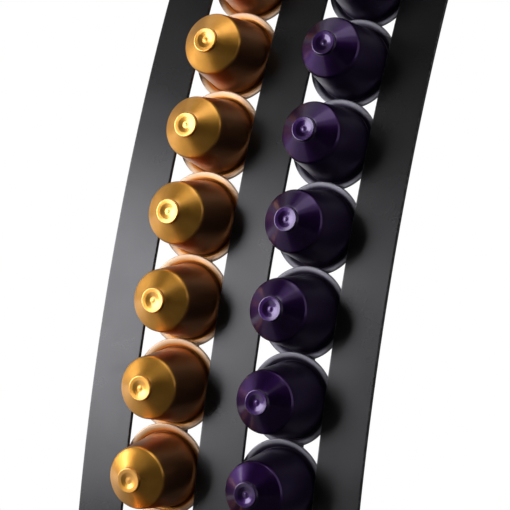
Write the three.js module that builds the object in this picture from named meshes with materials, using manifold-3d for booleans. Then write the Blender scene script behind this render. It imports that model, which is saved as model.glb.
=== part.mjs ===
// Coffee capsule dispenser: a curved steel front sheet with two long slots, in which two columns of
// capsules hang by their flanges, on a weighted base. Millimetres, +Z up, the front towards -Y, and
// the origin on the floor at the middle of the base.
import * as THREE from "three";
import { mergeVertices } from "three/addons/utils/BufferGeometryUtils.js";
import Module from "manifold-3d";

const wasm = await Module();
wasm.setup();

// The capsule: a deep-drawn aluminium cup with a rolled rim, and a foil lid sealed inside the rim.
const bodyDiameter = 30;
const flangeOverhang = 3.55;
const rimThickness = 1.1;
const rimWidth = 1.15;
const rimRound = 0.2;
const webThickness = 0.35;
const shoulderDiameter = 24.9;
const shoulderHeight = 22;
const shoulderRound = 0.7;
const capsuleHeight = 28.4;
const noseRingDiameter = 10.1;
const noseRingHeight = 1.2;
const noseRingBevel = 0.35;
const dimpleDiameter = 6.2;
const dimpleDepth = 1;
const cupWall = 0.6;
const lidThickness = 0.25;
const lidGap = 0.25;
const capsulesPerColumn = 10;

// The sheet, bent to one radius from its foot to its top edge.
const sheetRadius = 671;
const sheetThickness = 1.5;
const slotClearance = 1.25;
const middleStripWidth = 20;
const outerStripWidth = 20;
const lowestCapsuleRise = 46.8;
const loadingHoleClearance = 1.2;
const exitHoleClearance = 1.2;
const exitLift = 8;
const topMargin = 16;
const topCornerRadius = 9;
const footBendRadius = 4;
const footLength = 30;

// How the capsules hang: nose-down, each one's belly on the rim of the one below. The play is how
// each hangs in its slot, from the lowest up: extra tilt in degrees, and shares of the slot's
// clearance that it lies to the right.
const capsuleTilt = 6;
const goldTiltPlay = [0.5, 1.5, 1, 3, 1.3, 2.5, 2, 1.8, 1.3, 1];
const violetTiltPlay = [0, 1, 0.5, 0.7, 0.6, -1, -0.6, -2, -2, -1];
const goldSideShares = [0, -0.2, 0.2, 0, 0.3, 0.2, 0.1, 0.3, 0.4, 0.3];
const violetSideShares = [0, 0.2, -0.2, -0.1, 0, 0.2, 0.3, 0.5, 0.8, 0.5];
const restGap = 0.35;
const slidingClearance = 0.3;

// The rear guides: one strip behind each column, bent forwards at both ends to meet the sheet.
const guideThickness = 2;
const guideWidth = 10;
const guideTabLength = 11;
const guideHoleMargin = 1;
const seatGap = 0.3;
const studDiameter = 3;
const studReach = 3.6;
const nutAcrossFlats = 5.5;
const nutHeight = 2.4;

// The base and what is under it.
const baseSideMargin = 7.5;
const baseDepth = 180;
const baseThickness = 4;
const baseCornerRadius = 12;
const baseEdgeRound = 0.8;
const noseRoom = 30;
const footPadDiameter = 14;
const footPadTaper = 1;
const footPadHeight = 3;
const footPadInset = 15;
const screwDiameter = 4;
const screwHeadDiameter = 8;
const screwHeadHeight = 2.4;
const screwHeadRound = 0.9;
const screwRecessDiameter = 3.2;
const screwRecessDepth = 1.3;
const screwEdgeInset = 16;
const screwCount = 3;
const threadRoom = 0.3;

// One overrun serves every cut.
const overrun = 5;

const capsuleFacets = 16;
const holeFacets = 32;
const smallFacets = 10;
const arcStepLength = 18;

// Derived sizes.
const flangeRadius = bodyDiameter / 2 + flangeOverhang;
const slotWidth = bodyDiameter + 2 * slotClearance;
const loadingHoleDiameter = 2 * (flangeRadius + loadingHoleClearance);
const exitHoleDiameter = 2 * (flangeRadius + exitHoleClearance);
const sheetWidth = 2 * (outerStripWidth + slotWidth) + middleStripWidth;
const columnX = (middleStripWidth + slotWidth) / 2;
const baseWidth = sheetWidth + 2 * baseSideMargin;
const steepestTilt = capsuleTilt + Math.max(...goldTiltPlay, ...violetTiltPlay);
const flangeArcRadius = sheetRadius - flangeDepth(capsuleTilt, 0);
const capsulePitch = flangeRadius + bodyDiameter / 2 + restGap;
const pitchAngle = capsulePitch / flangeArcRadius;
const lowestAngle = lowestCapsuleRise / sheetRadius;
const exitAngle = lowestAngle + exitLift / sheetRadius;
const loadingAngle = lowestAngle + capsulesPerColumn * pitchAngle;
const topAngle = loadingAngle + (loadingHoleDiameter / 2 + topMargin) / sheetRadius;
const guideFaceRadius =
  sheetRadius -
  flangeDepth(steepestTilt, 0) -
  rimThickness / 2 -
  flangeRadius * tiltSine(steepestTilt) -
  slidingClearance;
const baseTop = footPadHeight + baseThickness;
const arcCentreY = -baseDepth / 2 + noseRoom + sheetRadius;
const arcCentreZ = baseTop + footBendRadius;

// The sine of a tilt in degrees.
function tiltSine(tilt) {
  return Math.sin(THREE.MathUtils.degToRad(tilt));
}

// How far the middle of a flange lies behind the front face, where its upper part bears on the
// sheet's back beside the slot. A flange that lies to one side bears higher up.
function flangeDepth(tilt, sideways) {
  const bearingChord = Math.sqrt(flangeRadius ** 2 - (slotWidth / 2 - Math.abs(sideways)) ** 2);
  return sheetThickness + slidingClearance + rimThickness / 2 + bearingChord * tiltSine(tilt);
}

// The colours and finishes.
const blackPaint = { color: 0x1d1d1f, roughness: 0.45, metalness: 0.3 };
const blackSteel = { color: 0x26262a, roughness: 0.5, metalness: 0.5 };
const zincSteel = { color: 0x9a9a9e, roughness: 0.35, metalness: 1 };
const blackRubber = { color: 0x151515, roughness: 0.9, metalness: 0 };
const goldAluminium = { color: 0xc98a2b, roughness: 0.3, metalness: 1 };
const violetAluminium = { color: 0x3b2456, roughness: 0.3, metalness: 1 };
const bareFoil = { color: 0xc9c9cc, roughness: 0.4, metalness: 1 };

const dispenser = new THREE.Group();
dispenser.name = "capsule_dispenser";

// A named mesh in a parent group.
function addPiece(name, geometry, finish, parent = dispenser) {
  const mesh = new THREE.Mesh(geometry, new THREE.MeshStandardMaterial({ name, ...finish }));
  mesh.name = name;
  parent.add(mesh);
  return mesh;
}

// A closed three.js geometry as a solid for cutting and joining.
function solidOf(geometry) {
  const bare = geometry.clone();
  bare.deleteAttribute("normal");
  bare.deleteAttribute("uv");
  const merged = mergeVertices(bare);
  return new wasm.Manifold(
    new wasm.Mesh({
      numProp: 3,
      vertProperties: merged.attributes.position.array,
      triVerts: new Uint32Array(merged.index.array),
    }),
  );
}

// A cut or joined solid back as a three.js geometry with flat faces.
function geometryOf(solid) {
  const mesh = solid.getMesh();
  const indexed = new THREE.BufferGeometry()
    .setAttribute("position", new THREE.BufferAttribute(mesh.vertProperties, mesh.numProp))
    .setIndex(new THREE.BufferAttribute(mesh.triVerts, 1));
  const flat = indexed.toNonIndexed();
  flat.computeVertexNormals();
  return flat;
}

// A point at a radius from the axis that the sheet is bent about, in the (Y, Z) plane.
function arcPoint(radius, angle) {
  return new THREE.Vector2(
    arcCentreY - radius * Math.cos(angle),
    arcCentreZ + radius * Math.sin(angle),
  );
}

// The points of an arc about that axis, both ends included.
function arcRun(radius, from, to) {
  const steps = Math.ceil((Math.abs(to - from) * sheetRadius) / arcStepLength);
  return Array.from({ length: steps + 1 }, (_, i) =>
    arcPoint(radius, from + ((to - from) * i) / steps),
  );
}

// An outline drawn in (Y, Z), made a solid of a given width, centred at x.
function sideExtrusion(points, width, x = 0) {
  const geometry = new THREE.ExtrudeGeometry(new THREE.Shape(points), {
    depth: width,
    bevelEnabled: false,
  });
  const turn = new THREE.Matrix4().makeBasis(
    new THREE.Vector3(0, 1, 0),
    new THREE.Vector3(0, 0, 1),
    new THREE.Vector3(1, 0, 0),
  );
  return geometry.applyMatrix4(turn).translate(x - width / 2, 0, 0);
}

// A band that follows the bend, between two radii and two angles.
function arcBand(inner, outer, from, to, width, x) {
  return sideExtrusion([...arcRun(outer, from, to), ...arcRun(inner, to, from)], width, x);
}

// A round bar square to the sheet at an angle, between two depths behind the front face.
function normalBar(diameter, nearDepth, farDepth, angle, x, facets) {
  const bar = new THREE.CylinderGeometry(diameter / 2, diameter / 2, farDepth - nearDepth, facets);
  const middle = arcPoint(sheetRadius - (nearDepth + farDepth) / 2, angle);
  return bar.rotateX(Math.PI - angle).translate(x, middle.x, middle.y);
}

// The angles of the guide's two bends: the lower one is the ledge that the lowest capsule stands on.
const ledgeAngle = lowestAngle - (flangeRadius + slidingClearance) / flangeArcRadius;
const bridgeAngle = loadingAngle + (loadingHoleDiameter / 2 + guideHoleMargin) / sheetRadius;
const guideBend = guideThickness / sheetRadius;
const guideTab = guideTabLength / sheetRadius;
const studAngles = [
  ledgeAngle - (guideTab + guideBend) / 2,
  bridgeAngle + (guideTab + guideBend) / 2,
];
const columns = [
  {
    side: "left",
    x: -columnX,
    colour: "gold",
    finish: goldAluminium,
    tiltPlay: goldTiltPlay,
    sideShares: goldSideShares,
  },
  {
    side: "right",
    x: columnX,
    colour: "violet",
    finish: violetAluminium,
    tiltPlay: violetTiltPlay,
    sideShares: violetSideShares,
  },
];

// The sheet's own section: the foot, the bend and the long arc, as one outline of even thickness.
function sheetOutline() {
  const footBack = arcPoint(sheetRadius, 0).x + footBendRadius + footLength;
  const footUnder = baseTop;
  const bendCentre = new THREE.Vector2(arcPoint(sheetRadius, 0).x + footBendRadius, arcCentreZ);
  const bend = (radius, reverse) => {
    const points = Array.from({ length: smallFacets / 2 + 1 }, (_, i) => {
      const angle = Math.PI + (i * Math.PI) / smallFacets;
      return new THREE.Vector2(
        bendCentre.x + radius * Math.cos(angle),
        bendCentre.y + radius * Math.sin(angle),
      );
    });
    return reverse ? points.reverse() : points;
  };
  return [
    ...arcRun(sheetRadius, topAngle, 0),
    ...bend(footBendRadius).slice(1),
    new THREE.Vector2(footBack, footUnder),
    new THREE.Vector2(footBack, footUnder + sheetThickness),
    ...bend(footBendRadius - sheetThickness, true),
    ...arcRun(sheetRadius - sheetThickness, 0, topAngle).slice(1),
  ];
}

// What a slot takes out of the sheet: the long band, its round lower end, and the two wide holes.
function slotCutters(x) {
  const near = -overrun;
  const far = sheetThickness + overrun;
  return [
    arcBand(sheetRadius - far, sheetRadius - near, lowestAngle, loadingAngle, slotWidth, x),
    normalBar(slotWidth, near, far, lowestAngle, x, holeFacets),
    normalBar(exitHoleDiameter, near, far, exitAngle, x, holeFacets),
    normalBar(loadingHoleDiameter, near, far, loadingAngle, x, holeFacets),
  ];
}

// What rounds off one top corner: a square with the corner's quarter circle left out.
function cornerCutter(side) {
  const r = topCornerRadius;
  const shape = new THREE.Shape();
  shape.moveTo(0, r + overrun);
  shape.lineTo(0, r);
  shape.absarc(0, 0, r, Math.PI / 2, 0, true);
  shape.lineTo(r + overrun, 0);
  shape.lineTo(r + overrun, r + overrun);
  shape.closePath();
  const depth = sheetThickness + 2 * overrun;
  const cutter = new THREE.ExtrudeGeometry(shape, {
    depth,
    bevelEnabled: false,
    curveSegments: smallFacets / 2,
  });
  if (side < 0) cutter.rotateZ(Math.PI / 2);
  const centre = arcPoint(sheetRadius - sheetThickness - overrun, topAngle - r / sheetRadius);
  return cutter
    .rotateX(Math.PI / 2 - topAngle)
    .translate(side * (sheetWidth / 2 - r), centre.x, centre.y);
}

// The x places of the base screws, one under each strip of the sheet.
const screwPlaces = Array.from({ length: screwCount }, (_, i) => {
  const span = sheetWidth - 2 * screwEdgeInset;
  return -span / 2 + (span * i) / (screwCount - 1);
});
const screwY = arcPoint(sheetRadius, 0).x + footBendRadius + footLength / 2;
const screwHoleDiameter = screwDiameter + 2 * threadRoom;
const studHoleDiameter = studDiameter + 2 * threadRoom;

// An upright bar, for screw holes.
function uprightBar(diameter, from, to, x, y) {
  return new THREE.CylinderGeometry(diameter / 2, diameter / 2, to - from, smallFacets)
    .rotateX(Math.PI / 2)
    .translate(x, y, (from + to) / 2);
}

function buildSheet() {
  let sheet = solidOf(sideExtrusion(sheetOutline(), sheetWidth));
  const cutters = columns.flatMap(({ x }) => slotCutters(x));
  cutters.push(cornerCutter(-1), cornerCutter(1));
  const through = baseTop + sheetThickness + overrun;
  for (const x of screwPlaces)
    cutters.push(uprightBar(screwHoleDiameter, baseTop - overrun, through, x, screwY));
  for (const cutter of cutters) sheet = sheet.subtract(solidOf(cutter));
  // The weld studs that hold the guides.
  const studEnd = sheetThickness + seatGap + guideThickness + studReach;
  for (const { x } of columns)
    for (const angle of studAngles)
      sheet = sheet.add(
        solidOf(normalBar(studDiameter, sheetThickness / 2, studEnd, angle, x, smallFacets)),
      );
  addPiece("front_sheet", geometryOf(sheet), blackPaint);
}

// One bent strip: a tab on the sheet, the ledge, the long run, the bridge and the upper tab.
function guideOutline() {
  const seat = sheetRadius - sheetThickness - seatGap;
  const seatBack = seat - guideThickness;
  const runBack = guideFaceRadius - guideThickness;
  return [
    ...arcRun(seat, ledgeAngle - guideBend - guideTab, ledgeAngle),
    ...arcRun(guideFaceRadius, ledgeAngle, bridgeAngle),
    ...arcRun(seat, bridgeAngle, bridgeAngle + guideBend + guideTab),
    ...arcRun(seatBack, bridgeAngle + guideBend + guideTab, bridgeAngle + guideBend),
    ...arcRun(runBack, bridgeAngle + guideBend, ledgeAngle - guideBend),
    ...arcRun(seatBack, ledgeAngle - guideBend, ledgeAngle - guideBend - guideTab),
  ];
}

function buildGuides() {
  const nutSeat = sheetThickness + seatGap + guideThickness + seatGap;
  for (const { side, x } of columns) {
    let guide = solidOf(sideExtrusion(guideOutline(), guideWidth, x));
    for (const angle of studAngles) {
      const bar = normalBar(studHoleDiameter, 0, nutSeat + overrun, angle, x, smallFacets);
      guide = guide.subtract(solidOf(bar));
    }
    addPiece(`rear_guide_${side}`, geometryOf(guide), blackSteel);
    studAngles.forEach((angle, i) => {
      const across = nutAcrossFlats / Math.cos(Math.PI / 6);
      const body = normalBar(across, nutSeat, nutSeat + nutHeight, angle, x, 6);
      const bore = normalBar(studHoleDiameter, 0, nutSeat + nutHeight + overrun, angle, x, smallFacets);
      const nut = solidOf(body).subtract(solidOf(bore));
      addPiece(`guide_nut_${side}_${i ? "upper" : "lower"}`, geometryOf(nut), zincSteel);
    });
  }
}

// The base plate, with a rounded outline and softened edges.
function buildBase() {
  const w = baseWidth / 2 - baseEdgeRound;
  const d = baseDepth / 2 - baseEdgeRound;
  const r = baseCornerRadius - baseEdgeRound;
  const shape = new THREE.Shape();
  shape.absarc(w - r, d - r, r, 0, Math.PI / 2);
  shape.absarc(-w + r, d - r, r, Math.PI / 2, Math.PI);
  shape.absarc(-w + r, -d + r, r, Math.PI, (3 * Math.PI) / 2);
  shape.absarc(w - r, -d + r, r, (3 * Math.PI) / 2, 2 * Math.PI);
  shape.closePath();
  const plate = new THREE.ExtrudeGeometry(shape, {
    depth: baseThickness - 2 * baseEdgeRound,
    bevelThickness: baseEdgeRound,
    bevelSize: baseEdgeRound,
    bevelSegments: 1,
    curveSegments: smallFacets / 2,
  }).translate(0, 0, footPadHeight + baseEdgeRound);
  let base = solidOf(plate);
  for (const x of screwPlaces) {
    const hole = uprightBar(screwHoleDiameter, footPadHeight - overrun, baseTop + overrun, x, screwY);
    base = base.subtract(solidOf(hole));
  }
  addPiece("base_plate", geometryOf(base), blackPaint);
}

// A round solid from (radius, height) points that start and end on its axis.
function revolve(points, facets) {
  const profile = points.map(([radius, height]) => new THREE.Vector2(radius, height));
  return new THREE.LatheGeometry(profile, facets);
}

function buildFootPads() {
  const top = footPadDiameter / 2;
  const bottom = top - footPadTaper;
  const pad = revolve(
    [[0, 0], [bottom, 0], [top, footPadHeight], [0, footPadHeight]],
    smallFacets + 2,
  ).rotateX(Math.PI / 2);
  for (const [front, y] of [["front", -1], ["rear", 1]])
    for (const [side, x] of [["left", -1], ["right", 1]])
      addPiece(`foot_pad_${front}_${side}`, pad, blackRubber).position.set(
        x * (baseWidth / 2 - footPadInset),
        y * (baseDepth / 2 - footPadInset),
        0,
      );
}

function buildScrews() {
  const head = screwHeadDiameter / 2;
  const shank = screwDiameter / 2;
  const seat = baseTop + sheetThickness;
  const screw = revolve(
    [
      [0, footPadHeight + threadRoom],
      [shank, footPadHeight + threadRoom],
      [shank, seat],
      [head, seat],
      [head, seat + screwHeadHeight - screwHeadRound],
      [head - screwHeadRound, seat + screwHeadHeight],
      [screwRecessDiameter / 2, seat + screwHeadHeight],
      [screwRecessDiameter / 2, seat + screwHeadHeight - screwRecessDepth],
      [0, seat + screwHeadHeight - screwRecessDepth],
    ],
    smallFacets,
  ).rotateX(Math.PI / 2);
  screwPlaces.forEach((x, i) => {
    addPiece(`base_screw_${i + 1}`, screw, zincSteel).position.set(x, screwY, 0);
  });
}

// The cup's section, from the nose's dimple out over the ring, cone, shoulder and body to the
// rolled rim, and back along the inside.
function cupProfile() {
  const rim = rimThickness / 2;
  const ring = noseRingDiameter / 2;
  const shoulder = shoulderDiameter / 2;
  const body = bodyDiameter / 2;
  const rimInner = flangeRadius - rimWidth;
  const noseInside = capsuleHeight - dimpleDepth - cupWall;
  return [
    [0, capsuleHeight - dimpleDepth],
    [dimpleDiameter / 2 - noseRingBevel, capsuleHeight - dimpleDepth],
    [dimpleDiameter / 2, capsuleHeight],
    [ring - noseRingBevel, capsuleHeight],
    [ring, capsuleHeight - noseRingHeight],
    [shoulder - shoulderRound, shoulderHeight + shoulderRound / 2],
    [shoulder, shoulderHeight - shoulderRound],
    [body, webThickness],
    [rimInner, webThickness],
    [rimInner + rimRound, rim],
    [flangeRadius - rimRound, rim],
    [flangeRadius, rim - rimRound],
    [flangeRadius, -rim],
    [rimInner, -rim],
    [rimInner, 0],
    [body - cupWall, 0],
    [shoulder - cupWall, shoulderHeight - shoulderRound - cupWall / 2],
    [ring - cupWall, noseInside],
    [0, noseInside],
  ].reverse();
}

function lidProfile() {
  const radius = flangeRadius - rimWidth - lidGap;
  return [
    [0, -lidGap - lidThickness],
    [radius, -lidGap - lidThickness],
    [radius, -lidGap],
    [0, -lidGap],
  ];
}

// The flange of each capsule lies on its own arc behind the sheet, its nose tipped down.
function buildCapsules() {
  const cup = revolve(cupProfile(), capsuleFacets);
  const lid = revolve(lidProfile(), capsuleFacets);
  for (const { x, colour, finish, tiltPlay, sideShares } of columns)
    for (let i = 0; i < capsulesPerColumn; i++) {
      const angle = lowestAngle + i * pitchAngle;
      const tilt = capsuleTilt + tiltPlay[i % tiltPlay.length];
      const sideways = slotClearance * sideShares[i % sideShares.length];
      const seat = arcPoint(sheetRadius - flangeDepth(tilt, sideways), angle);
      const capsule = new THREE.Group();
      capsule.position.set(x + sideways, seat.x, seat.y);
      capsule.rotation.x = Math.PI - angle + THREE.MathUtils.degToRad(tilt);
      dispenser.add(capsule);
      addPiece(`${colour}_cup_${i + 1}`, cup, finish, capsule);
      addPiece(`${colour}_lid_${i + 1}`, lid, bareFoil, capsule);
    }
}

buildSheet();
buildGuides();
buildBase();
buildFootPads();
buildScrews();
buildCapsules();

export default dispenser;
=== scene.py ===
"""A coffee capsule dispenser: a bent black sheet with two slots, gold and violet capsules hanging in
them by their flanges, two guide strips behind, and a base plate on rubber pads.

Everything is in metres, +Z up, the front towards -Y. A capsule's own place comes from its lid in the
frame; the other sizes are the named values below.
"""

import math

import bpy
import bmesh
import numpy as np
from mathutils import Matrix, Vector


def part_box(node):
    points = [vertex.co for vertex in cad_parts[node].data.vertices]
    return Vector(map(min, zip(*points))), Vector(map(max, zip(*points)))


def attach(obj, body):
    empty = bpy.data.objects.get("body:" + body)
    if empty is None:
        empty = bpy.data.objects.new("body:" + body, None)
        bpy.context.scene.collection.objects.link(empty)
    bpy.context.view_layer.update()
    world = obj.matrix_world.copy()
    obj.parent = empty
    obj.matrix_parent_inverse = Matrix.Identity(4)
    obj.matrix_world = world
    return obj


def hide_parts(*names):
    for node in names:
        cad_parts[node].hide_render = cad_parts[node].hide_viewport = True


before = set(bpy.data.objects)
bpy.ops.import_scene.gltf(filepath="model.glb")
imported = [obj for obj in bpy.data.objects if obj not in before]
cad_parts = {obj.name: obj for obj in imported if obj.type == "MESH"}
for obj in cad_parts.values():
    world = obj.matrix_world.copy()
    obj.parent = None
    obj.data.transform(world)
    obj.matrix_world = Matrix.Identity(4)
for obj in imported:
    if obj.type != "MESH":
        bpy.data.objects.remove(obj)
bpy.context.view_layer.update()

MM = 0.001
TAU = 2 * math.pi
QUARTER = math.pi / 2

# The sheet, bent to one radius from its foot to its top edge.
SHEET_RADIUS = 671 * MM
SHEET_THICKNESS = 1.5 * MM
SHEET_EDGE_ROUND = 0.25 * MM
SLOT_WIDTH = 32.5 * MM
STRIP_WIDTH = 20 * MM
LOWEST_RISE = 46.8 * MM
EXIT_LIFT = 8 * MM
WIDE_HOLE_DIAMETER = 39.5 * MM
TOP_MARGIN = 16 * MM
TOP_CORNER_RADIUS = 9 * MM
FOOT_BEND_RADIUS = 4 * MM
FOOT_LENGTH = 30 * MM
EDGE_ROW = 0.5 * MM
EDGE_WEAR_REACH = 0.5 * MM

# How finely the sheet is cut: rows along each arc and the straight run of a slot, and shares of a
# strip's width, closest at its edges.
LOWER_ARC_ROWS = 14
UPPER_ARC_ROWS = 26
STRAIGHT_ROWS = 68
TOP_CORNER_ROWS = 10
STRIP_SHARES = np.concatenate([[0, 0.015, 0.05], np.linspace(0.12, 0.88, 8), [0.95, 0.985, 1]])

# The capsules. OWN_STEP keeps the patterns on them apart.
CAPSULES_PER_COLUMN = 10
CAPSULE_TILT = math.radians(6)
FLANGE_RADIUS = 18.55 * MM
BODY_RADIUS = 15 * MM
RIM_THICKNESS = 1.1 * MM
REST_GAP = 0.35 * MM
CAPSULE_TURNS = 96
OWN_STEP = 0.1
DENT_DEPTH = 0.03 * MM
DENT_FADE_HEIGHT = 4 * MM
DENT_FREE_RADIUS = 5.4 * MM
DENT_FADE_WIDTH = 2 * MM

# A cup's section in millimetres: radius, height above the flange, and the round at that corner.
NOSE_DISH = [(0, 27.87, 0), (0.4, 27.87, 0.3), (0.8, 27.8, 0.3), (1.5, 27.8, 0.7), (3.2, 28.3, 1.2)]
NOSE_RING = [(4.5, 28.4, 0.8), (5.05, 28.4, 0.45), (5.05, 27.1, 0.12)]
SHOULDER = [(12.0, 22.2, 0.8), (12.45, 21.3, 0.8)]
FLANGE = [(15.05, -0.1, 0.25), (16.1, 0.4, 0.6), (18.55, 0.6, 0.5), (18.55, -0.55, 0.5)]
INSIDE = [(17.4, -0.55, 0), (17.4, -0.2, 0.1), (14.4, -0.2, 0.1), (11.85, 21.1, 0.5),
          (4.45, 26.6, 0.5), (0, 26.6, 0)]
OUTSIDE_STEP = 1.6
INSIDE_STEP = 8

# Where a cup's finish changes, as distances from its axis. Between the wall and the web the colour is
# darkened as painted shade, and the rim is painted pale as a reflection.
RING_TO_CONE = (5.1 * MM, 5.7 * MM)
CONE_TO_WALL = (12.2 * MM, 12.8 * MM)
CONE_TO_WALL_GLOSS = (12.0 * MM, 13.0 * MM)
WALL_TO_GROOVE_SHADE = (14.7 * MM, 15.1 * MM)
GROOVE_SHADE_TO_WEB = (15.3 * MM, 15.8 * MM)
# How far the inner edge of the rim's pale painted reflection wanders.
RIM_SHEEN_WOBBLE = 0.25 * MM

# The lids.
LID_MIDDLE = -0.375 * MM
LID_RADIUS = 17.15 * MM
LID_THICKNESS = 0.25 * MM
LID_POINTS = np.concatenate([[0], np.linspace(1, 14, 14), np.linspace(14.4, 17.1, 28)]) * MM
LID_RINGS_FROM = 14.4 * MM
LID_RING_PITCH = 0.9 * MM
LID_RING_HEIGHT = 0.03 * MM

# The base and its fastenings.
BASE_THICKNESS = 4 * MM
BASE_CORNER_RADIUS = 12 * MM
BASE_EDGE_ROUND = 0.8 * MM
PAD_HEIGHT = 3 * MM
PAD_TAPER = 1 * MM
PAD_HOLLOW = 0.4 * MM
PAD_TURNS = 48
SCREW_HEAD_RADIUS = 4 * MM
SCREW_HEAD_HEIGHT = 2.4 * MM
SCREW_HEAD_RIM = 0.7 * MM
SCREW_HEAD_DOME = 1.5 * MM
SCREW_SHANK_RADIUS = 2 * MM
SCREW_OVERRUN = 0.2 * MM
SOCKET_ACROSS = 2.6 * MM
SOCKET_DEPTH = 1.3 * MM
SOCKET_LIP = 0.35 * MM
SOCKET_CHAMFER = 0.15 * MM
SOCKET_DRILL_TIP = 0.4 * MM
HEXAGON_TURNS = 72

# The guides behind the columns, their weld studs and their nuts.
GUIDE_WIDTH = 10 * MM
GUIDE_THICKNESS = 2 * MM
GUIDE_EDGE_ROUND = 0.3 * MM
GUIDE_TAB = 11 * MM
GUIDE_HOLE_MARGIN = 1 * MM
GUIDE_BEND_RADIUS = 1.5 * MM
GUIDE_STEP = 4 * MM
SEAT_GAP = 0.3 * MM
STUD_RADIUS = 1.5 * MM
STUD_REACH = 3.6 * MM
STUD_ROOT = 0.2 * MM
STUD_PITCH = 0.5 * MM
STUD_ROWS_A_PITCH = 6
STUD_TURNS = 24
THREAD_DEPTH = 0.18 * MM
STUD_END_TAPER = 0.25 * MM
WELD_COLLAR = 0.9 * MM
WELD_COLLAR_HEIGHT = 0.4 * MM
NUT_ACROSS_FLATS = 5.5 * MM
NUT_HEIGHT = 2.4 * MM
NUT_CHAMFER_HEIGHT = 0.6 * MM
NUT_CHAMFER_SLOPE = math.tan(math.radians(55))
NUT_FACE_SHARE = 0.97
NUT_BORE_GAP = 0.1 * MM
NUT_COUNTERSINK = 0.4 * MM

# Worked out from those sizes and the frame.
BASE_TOP = PAD_HEIGHT + BASE_THICKNESS
FOOT_BEND_LENGTH = FOOT_BEND_RADIUS * QUARTER
SHEET_WIDTH = 2 * SLOT_WIDTH + 3 * STRIP_WIDTH
COLUMN_X = (STRIP_WIDTH + SLOT_WIDTH) / 2
SHEET_FRONT_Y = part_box("front_sheet")[0].y
ARC_CENTRE = (SHEET_FRONT_Y + SHEET_RADIUS, BASE_TOP + FOOT_BEND_RADIUS)
BEARING_CHORD = math.sqrt(FLANGE_RADIUS**2 - (SLOT_WIDTH / 2) ** 2)
FLANGE_DEPTH = SHEET_THICKNESS + SEAT_GAP + RIM_THICKNESS / 2
FLANGE_ARC_RADIUS = SHEET_RADIUS - FLANGE_DEPTH - BEARING_CHORD * math.sin(CAPSULE_TILT)
PITCH_ANGLE = (FLANGE_RADIUS + BODY_RADIUS + REST_GAP) / FLANGE_ARC_RADIUS
LOADING_RISE = LOWEST_RISE + SHEET_RADIUS * CAPSULES_PER_COLUMN * PITCH_ANGLE
SHEET_TOP = LOADING_RISE + WIDE_HOLE_DIAMETER / 2 + TOP_MARGIN


# Meshes from whole arrays.

SHARP_ANGLE = math.radians(40)
WELD_DISTANCE = 1e-6
FILLET_STEP = math.radians(15)


def grid_quads(rows, columns, wrap, start):
    """The quads of a grid of rows by columns of points; wrap joins the last column to the first."""
    r = np.arange(rows - 1)[:, None]
    c = np.arange(columns if wrap else columns - 1)[None, :]
    right = (c + 1) % columns
    quads = np.stack(
        [r * columns + c, r * columns + right, (r + 1) * columns + right, (r + 1) * columns + c],
        axis=-1,
    )
    return quads.reshape(-1, 4) + start


class Surface:
    """Grids of points gathered into one mesh, with numbers or vectors carried on the points."""

    def __init__(self):
        self.points, self.quads, self.values, self.count = [], [], {}, 0

    def add(self, grid, wrap=False, **values):
        rows, columns = grid.shape[:2]
        self.quads.append(grid_quads(rows, columns, wrap, self.count))
        self.points.append(grid.reshape(-1, 3))
        for name, value in values.items():
            parts = self.values.setdefault(name, [])
            if np.ndim(value) == 3:
                parts.append(value.reshape(-1, 3))
            else:
                parts.append(np.broadcast_to(value, (rows, columns)).reshape(-1))
        self.count += rows * columns
        return self

    def mesh(self, name):
        """The welded mesh, its collapsed quads closed to triangles and its faces turned outwards."""
        points, quads = np.concatenate(self.points), np.concatenate(self.quads)
        data = bpy.data.meshes.new(name)
        data.from_pydata(points.tolist(), [], quads.tolist())
        for value_name, parts in self.values.items():
            value = np.concatenate(parts).astype(np.float32)
            kind, field = ("FLOAT_VECTOR", "vector") if value.ndim == 2 else ("FLOAT", "value")
            attribute = data.attributes.new(value_name, kind, "POINT")
            attribute.data.foreach_set(field, value.ravel())
        bm = bmesh.new()
        bm.from_mesh(data)
        bmesh.ops.remove_doubles(bm, verts=bm.verts, dist=WELD_DISTANCE)
        bmesh.ops.recalc_face_normals(bm, faces=bm.faces)
        bm.to_mesh(data)
        bm.free()
        data.shade_smooth()
        data.set_sharp_from_angle(angle=SHARP_ANGLE)
        return data


def placed(name, data):
    """A mesh, lamp or camera as an object in the scene."""
    made = bpy.data.objects.new(name, data)
    bpy.context.scene.collection.objects.link(made)
    return made


def dressed(name, surface, finish):
    """A surface as an object with its material."""
    data = surface.mesh(name)
    data.materials.append(finish)
    return placed(name, data)


def piece(name, surface, finish, body, slot, *nodes):
    """A finished piece of the object that rides on a body and stands for CAD nodes."""
    made = dressed(name, surface, finish)
    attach(made, body)
    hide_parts(*nodes)


def node_points(name):
    """The points of a CAD node's mesh."""
    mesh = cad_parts[name].data
    points = np.empty(len(mesh.vertices) * 3)
    mesh.vertices.foreach_get("co", points)
    return points.reshape(-1, 3)


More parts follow.
